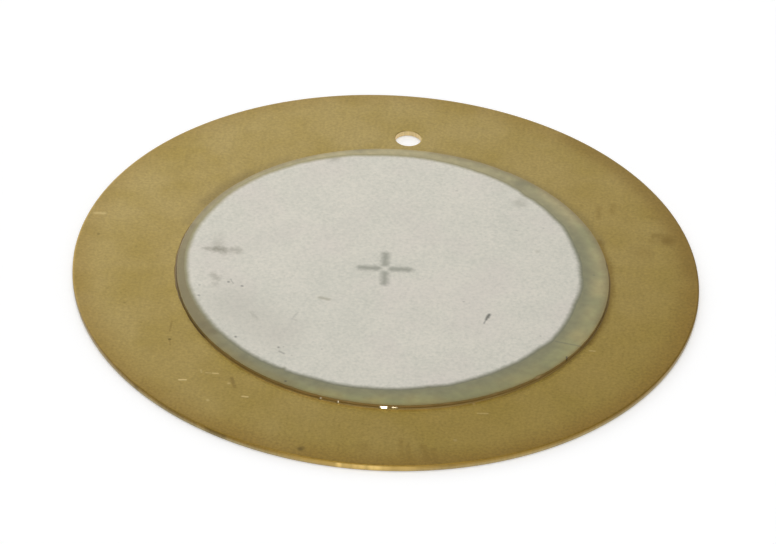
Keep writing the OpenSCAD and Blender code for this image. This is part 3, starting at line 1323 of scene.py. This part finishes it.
@dataclass
class SilverPrint:
    """The upper electrode: a printed film with a slightly ragged edge and a stencilled plus."""

    place: Extent = field(default_factory=lambda: Extent.of("upper_electrode"))
    feather: float = 0.22  # width over which the print thins out to nothing
    columns: int = 1440
    # Each nick's angle, depth and width; a bulge has a depth below nothing
    nicks: tuple[tuple[float, float, float], ...] = (
        (-29.0, -0.05, 0.6), (-10.0, 0.07, 1.2), (-49.0, 0.04, 0.9), (-66.0, -0.03, 0.4),
        (-72.0, 0.02, 0.15), (-114.5, 0.06, 0.12), (-106.0, 0.03, 1.2), (-150.0, 0.03, 1.5),
        (48.5, 0.06, 0.45), (30.0, -0.02, 0.6), (98.0, 0.03, 0.9), (-168.0, 0.02, 0.3),
    )

    @property
    def marks(self) -> list[Mark]:
        """The plus, and the dirt and grains on the film."""
        return [
            *PlusSign().bars(),
            *strokes(
                Wear.SMEAR,
                (-5.78, 0.3, -5.5, 0.32, 0.22, 0.45), (-5.5, 0.32, -5.28, 0.3, 0.3, 0.7),
                (-5.2, 0.33, -5.02, 0.36, 0.16, 0.25), (-4.95, 0.36, -4.78, 0.3, 0.26, 0.42),
                (-5.42, -1.1, -5.3, -1.25, 0.24, 0.42), (-4.0, -2.9, -3.8, -3.2, 0.12, 0.25),
            ),
            *dots(
                Wear.SMEAR,
                (-5.22, 0.2, 0.3, 0.45), (-5.48, 0.6, 0.34, 0.3), (-5.45, 0.9, 0.4, 0.12),
                (-5.31, -1.55, 0.26, 0.2), (3.95, 4.25, 0.4, 0.3), (-2.3, 5.85, 0.35, 0.35),
            ),
            *dots(
                Wear.SPECK,
                (-4.9, -1.4, 0.08, 0.64), (-4.45, -1.55, 0.08, 0.64), (-5.75, -2.25, 0.08, 0.48),
                (-5.8, -1.7, 0.06, 0.28), (-4.35, -4.25, 0.08, 0.64), (-2.95, -4.6, 0.08, 0.56),
                (-2.8, -4.55, 0.05, 0.28), (-2.5, -4.95, 0.05, 0.28), (-1.6, -4.5, 0.05, 0.28),
                (2.6, -1.35, 0.06, 0.28), (3.95, 2.75, 0.08, 0.2), (5.15, -2.8, 0.07, 0.28),
                (4.8, 3.0, 0.07, 0.2), (1.85, 4.65, 0.07, 0.2),
            ),
            *strokes(
                Wear.LINE,
                (-4.85, -1.25, -4.75, -1.45, 0.05, 0.32), (-2.7, -3.05, -2.55, -2.7, 0.06, 0.16),
                (-2.7, -3.05, -2.55, -3.1, 0.06, 0.16), (-2.9, -4.8, -2.75, -4.9, 0.08, 0.4),
                (3.46, -1.92, 3.42, -2.06, 0.1, 0.85), (3.42, -2.04, 3.38, -2.2, 0.08, 0.8),
                (3.38, -2.18, 3.33, -2.4, 0.05, 0.5),
            ),
            *strokes(Wear.SCUFF, (-1.95, -1.8, -1.65, -1.85, 0.12, 0.45)),
            *dots(Wear.SCUFF, (4.7, 1.7, 0.14, 0.21)),
            *strokes(Wear.STAIN, (-4.8, -2.5, -3.2, -3.9, 1.6, 0.3)),
        ]

    def grid(self) -> np.ndarray:
        """Works out the film as loops of points from the upper pole to the lower one.

        The film's edge is its radius plus a fine ripple, less the nicks, and every loop keeps
        its share of that radius. The upper face drops to the ceramic over the feather.

        Returns:
            Rows by columns by three, in millimetres.
        """
        low, high = self.place.low, self.place.high
        turn = turns(self.columns)
        fine = ripple(turn, 11, (30, 150), 0.003) + ripple(turn, 12, (5, 30), 0.009)
        nicks = bitten(turn, self.nicks, self.place.radius)
        edge = self.place.radius + self.feather * 0.45 + fine - nicks
        share = np.concatenate([np.linspace(0.04, 1, 16)[:-1] ** 0.7, [1.0]])
        inner = share[:, None] * (edge - self.feather)
        drop = np.linspace(0, 1, 9)[1:]
        slope = edge - self.feather * (1 - drop[:, None])
        radius = np.concatenate([inner, slope, share[::-1, None] * (edge - 0.004)])
        fall = drop**2 * (3 - 2 * drop)
        height = np.concatenate(
            [np.full(share.size, high), high - (high - low) * fall, np.full(share.size, low)]
        )
        return swept(*self.place.centre, radius, height[:, None], self.columns)

    def build(self) -> None:
        """Makes and dresses the film, and puts it in the place of its CAD node."""
        piece = new_piece("silver_print", self.grid(), closed=False, sharp=35)
        settle(piece, SilverFinish().material(self), "upper_electrode")


@dataclass(frozen=True)
class Drop:
    """A drop of adhesive on the bead, and the flake of light on it: partly the drop's slope mirroring the
    front lamp, partly a painted highlight.

    Attributes:
        turn: Where it sits round the ceramic, in degrees.
        wide: Its width along the rim.
        out: How far the flake lies outside the ceramic.
        thick: The flake's thickness.
        strength: How much of the flake covers the adhesive.
    """

    turn: float
    wide: float
    out: float
    thick: float
    strength: float

    def flake(self, centre: tuple[float, float], rim: float) -> Mark:
        """Gives the painted highlight, as a short stroke along the rim.

        Args:
            centre: The ceramic's centre.
            rim: The ceramic's radius.

        Returns:
            The mark.
        """
        turn, reach = math.radians(self.turn), rim + self.out
        x, y = centre[0] + reach * math.cos(turn), centre[1] + reach * math.sin(turn)
        half = max(self.wide - self.thick / 2, 0.0)
        run = (-math.sin(turn) * half, math.cos(turn) * half)
        start, end = (x - run[0], y - run[1]), (x + run[0], y + run[1])
        return Mark(Wear.GLINT, start, end, self.thick, self.strength)


@dataclass
class AdhesiveBond:
    """The adhesive: a film under the ceramic and a hollow bead round its rim."""

    place: Extent = field(default_factory=lambda: Extent.of("bond_layer"))
    ceramic: Extent = field(default_factory=lambda: Extent.of("ceramic_disc"))
    silver: Extent = field(default_factory=lambda: Extent.of("lower_electrode"))
    lip: float = 0.008
    edge: float = 0.015
    pole: float = 0.5  # radius of the first and last loops, round the film's poles
    swell: float = 0.5  # half hollow and half full makes a straight slope
    # Shares of the CAD bead's width and height
    reach: float = 0.42
    least_reach: float = 0.15
    climb: float = 0.6
    least_climb: float = 0.4
    drop_climb: float = 0.85
    uneven: float = 0.08
    drop_gain: float = 2.4  # so that a drop is at its full height over most of its width
    columns: int = 1440
    # How much wider or narrower the bead is: angle, share of its room, and half width
    swells: tuple[tuple[float, float, float], ...] = (
        (-50.0, 0.25, 45.0),
        (-145.0, -0.2, 24.0),
        (180.0, 0.35, 28.0),
    )
    drops: tuple[Drop, ...] = (
        Drop(-86.9, 0.13, 0.022, 0.056, 1.0),
        Drop(-84.1, 0.1, 0.022, 0.02, 0.6),
        Drop(-98.8, 0.03, 0.024, 0.04, 0.7),
        Drop(-103.5, 0.03, 0.024, 0.035, 0.6),
    )

    @property
    def marks(self) -> list[Mark]:
        """The painted highlight in each drop, high on the bead, and two stretches of dark bead."""
        centre, rim = self.ceramic.centre, self.ceramic.radius
        dark = ((rim + 0.04, 160, 216, 0.12, 0.75), (rim + 0.055, -25, 16, 0.12, 0.35))
        return [*arcs(Wear.LINE, centre, *dark), *(drop.flake(centre, rim) for drop in self.drops)]

    def bead(self) -> tuple[np.ndarray, np.ndarray]:
        """Works out the bead's surface, from the ceramic's rim down to the brass.

        It is a hollow quarter of an ellipse between the plate and the rim. Where a drop
        gathered, it is mixed with a full quarter, and half of each makes a straight slope.

        Returns:
            Rows of how far each loop is outside the rim and above the plate.
        """
        turn = turns(self.columns)
        rim, tall = self.ceramic.radius, self.place.high - self.place.low
        most = self.place.radius - rim
        swells = [by * bump(turn, at, math.radians(wide)) for at, by, wide in self.swells]
        share = self.reach + np.sum(swells, axis=0) + ripple(turn, 21, (3, 90), self.uneven)
        reach = np.clip(share, self.least_reach, 1) * most
        share = self.climb + ripple(turn, 22, (4, 70), self.uneven)
        climb = np.clip(share, self.least_climb, 1) * tall
        bells = [bump(turn, each.turn, each.wide / rim) for each in self.drops]
        drop = np.clip(self.drop_gain * np.sum(bells, axis=0), 0, 1)
        climb = climb + (self.drop_climb * tall - climb) * drop
        reach = reach + (climb + self.lip - reach) * drop
        way = np.radians(np.linspace(90, 0, 9))[:, None]
        hollow_r = reach - (reach - self.lip) * np.sin(way)
        hollow_z = climb * (1 - np.cos(way))
        full_r = self.lip + (reach - self.lip) * np.cos(way)
        full_z = climb * np.sin(way)
        mix = drop * self.swell
        return hollow_r + (full_r - hollow_r) * mix, hollow_z + (full_z - hollow_z) * mix

    def grid(self) -> np.ndarray:
        """Works out the bond as loops of points from the film's upper pole to its lower one.

        Returns:
            Rows by columns by three, in millimetres.
        """
        rim, foot, seat = self.ceramic.radius, self.place.low, self.ceramic.low
        corner = quarter((rim - self.edge, seat + self.edge), (self.edge, self.edge), -90, 0, 4)
        silver = self.silver
        film = [[self.pole, silver.low], [silver.radius, silver.low], [silver.radius, seat]]
        once = np.ones(self.columns)
        inside = np.concatenate([film, corner])[:, :, None] * once
        out, up = self.bead()
        radius = np.concatenate([inside[:, 0], [rim * once], rim + out, [self.pole * once]])
        height = np.concatenate([inside[:, 1], foot + up[:1], foot + up, [foot * once]])
        return swept(*self.ceramic.centre, radius, height, self.columns)

    def build(self) -> None:
        """Makes and dresses the bond, and puts it in the place of its CAD node."""
        piece = new_piece("adhesive_bond", self.grid(), closed=False, sharp=60)
        settle(piece, AdhesiveFinish().material(self), "bond_layer")


@dataclass
class LowerElectrode:
    """The silver film under the ceramic, which nothing shows: the CAD node itself."""

    def build(self) -> None:
        """Dresses the CAD node."""
        node = frame["nodes"]["lower_electrode"]
        node.data.materials.clear()
        node.data.materials.append(SilverFinish().material())
        LOG.info("lower_electrode: CAD node, %d faces", len(node.data.polygons))


def settle(piece: bpy.types.Object, material: bpy.types.Material, node: str) -> None:
    """Dresses a piece and fixes it to the part in the place of its CAD node.

    Args:
        piece: The piece.
        material: Its material.
        node: The CAD node that it stands for.
    """
    piece.data.materials.append(material)
    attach(piece, BODY)
    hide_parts(node)
    LOG.info("%s: %d faces, for %s", piece.name, len(piece.data.polygons), node)


@dataclass(frozen=True)
class Lamp:
    """A soft square lamp that shines at the disc.

    Attributes:
        name: Its name.
        place: Where it hangs, in millimetres.
        side: The side of its square, in millimetres.
        radiance: How bright its face is.
    """

    name: str
    place: tuple[float, float, float]
    side: float
    radiance: float


@dataclass(frozen=True)
class Studio:
    """A white table under soft light, and a long lens."""

    azimuth: float = 3.87
    elevation: float = 36.24
    roll: float = 2.76
    distance: float = 211.0
    lens: float = 306.8
    aim_right: float = 0.059
    aim_up: float = 0.038
    sky: float = 0.4
    table: str = "#E8E8E8"
    glow: tuple[float, float] = (0.3, 0.38)  # the table's own white, at the back left and in front
    glow_way: tuple[float, float] = (0.46, -0.89)
    glow_mm: float = 20.0
    far_glow: float = 0.8  # far off, where the lamps don't reach the table
    far_mm: tuple[float, float] = (55.0, 95.0)
    table_half: float = 1500.0
    wall: float = 300.0
    gap: float = 0.02
    lamps: tuple[Lamp, ...] = (
        Lamp("card_back", (0.0, 50.0, 22.0), 36.0, 0.62),
        Lamp("softbox_left", (-60.0, 80.0, 40.0), 80.0, 1.45),
        Lamp("softbox_top", (0.0, 0.0, 150.0), 100.0, 2.2),
        Lamp("lamp_front", (5.0, -120.0, 160.0), 12.0, 60.0),
    )

    def build(self, target: Vector) -> None:
        """Sets the table, the sky, the lamps and the camera.

        Args:
            target: The middle of the plate's upper face, in metres.
        """
        self.lay_table()
        self.light(target)
        self.aim(target)
        bpy.context.scene.view_settings.view_transform = "Standard"

    def lay_table(self) -> None:
        """Lays a white table just under the disc, with low white walls far round it.

        The table holds the disc's shadow. The walls show only from the side.
        """
        half, low = self.table_half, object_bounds()[0][2] / MM - self.gap
        round_it = ((-half, -half), (half, -half), (half, half), (-half, half))
        corners = np.array([(x, y, z) for z in (low, low + self.wall) for x, y in round_it])
        sides = [[k, k + 4, (k + 1) % 4 + 4, (k + 1) % 4] for k in range(4)]
        mesh = bpy.data.meshes.new("table")
        mesh.from_pydata((corners * MM).tolist(), [], [[0, 1, 2, 3], *sides])
        table = bpy.data.objects.new("table", mesh)
        bpy.context.scene.collection.objects.link(table)
        mesh.materials.append(self.white())
        table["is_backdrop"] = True

    def white(self) -> bpy.types.Material:
        """Builds the table's material: matt white, which also glows by itself.

        Only the camera and what the disc mirrors or lets through see the glow, so it whitens
        the ground and lights nothing.

        Returns:
            The material.
        """
        g = Graph("white_table")
        path = g.add("LightPath", {}).outputs
        both = {"Value": path["Is Camera Ray"], "Value_001": path["Is Glossy Ray"]}
        seen = {"Value": g.add("Math", both, PLUS), "Value_001": path["Is Transmission Ray"]}
        way = {"Vector": g.mm, "Vector_001": (*self.glow_way, 0)}
        near = {
            "Value": g.add("VectorMath", way, ALONG).outputs["Value"],
            "From Min": -self.glow_mm,
            "From Max": self.glow_mm,
            "To Min": self.glow[0],
            "To Max": self.glow[1],
        }
        start, end = self.far_mm
        far = {"Value": g.ring(0.0, 0.0), "From Min": start, "From Max": end, "To Max": self.far_glow}
        levels = {"Value": g.add("MapRange", near), "Value_001": g.add("MapRange", far)}
        strength = {
            "Value": g.add("Math", seen, PLUS | {"use_clamp": True}),
            "Value_001": g.add("Math", levels, HIGHEST),
        }
        glow = g.add("Emission", {"Strength": g.add("Math", strength, TIMES)})
        body = g.add("BsdfDiffuse", {"Color": self.table})
        return g.finish(g.add("AddShader", {"Shader": body, "Shader_001": glow}))

    def light(self, target: Vector) -> None:
        """Lights the disc with an even sky and soft square lamps.

        Args:
            target: Where the lamps point.
        """
        world = bpy.data.worlds.new("sky")
        world.use_nodes = True
        sky = world.node_tree.nodes["Background"]
        sky.inputs["Color"].default_value = (1, 1, 1, 1)
        sky.inputs["Strength"].default_value = self.sky
        bpy.context.scene.world = world
        for each in self.lamps:
            data = bpy.data.lights.new(each.name, "AREA")
            data.shape = "SQUARE"
            data.size = each.side * MM
            data.energy = each.radiance * math.pi * (each.side * MM) ** 2
            lamp = bpy.data.objects.new(each.name, data)
            lamp.location = Vector(each.place) * MM
            lamp.rotation_euler = (lamp.location - target).to_track_quat("Z", "Y").to_euler()
            lamp.visible_camera = False
            bpy.context.scene.collection.objects.link(lamp)

    def aim(self, target: Vector) -> None:
        """Sets the camera up on its stand and turns it to the disc.

        Args:
            target: The middle of the plate's upper face, in metres.
        """
        a, e, r = (math.radians(x) for x in (self.azimuth, self.elevation, self.roll))
        back = Vector((math.sin(a) * math.cos(e), -math.cos(a) * math.cos(e), math.sin(e)))
        right = Vector((math.cos(a), math.sin(a), 0))
        up = back.cross(right)
        across = right * math.cos(r) + up * math.sin(r)
        above = up * math.cos(r) - right * math.sin(r)
        data = bpy.data.cameras.new("camera")
        data.lens = self.lens
        data.clip_start = 0.01
        camera = bpy.data.objects.new("camera", data)
        turn = Matrix((across, above, back)).transposed().to_4x4()
        place = target + (across * self.aim_right + above * self.aim_up + back * self.distance) * MM
        camera.matrix_world = Matrix.Translation(place) @ turn
        bpy.context.scene.collection.objects.link(camera)
        bpy.context.scene.camera = camera


def main() -> None:
    """Builds the disc layer by layer, then its setting."""
    logging.basicConfig(level=logging.INFO, format="%(name)s: %(message)s")
    plate = BrassPlate()
    for layer in (plate, AdhesiveBond(), LowerElectrode(), CeramicDisc(), SilverPrint()):
        layer.build()
    Studio().build(Vector((0, 0, plate.high)) * MM)


if __name__ == "__main__":
    main()
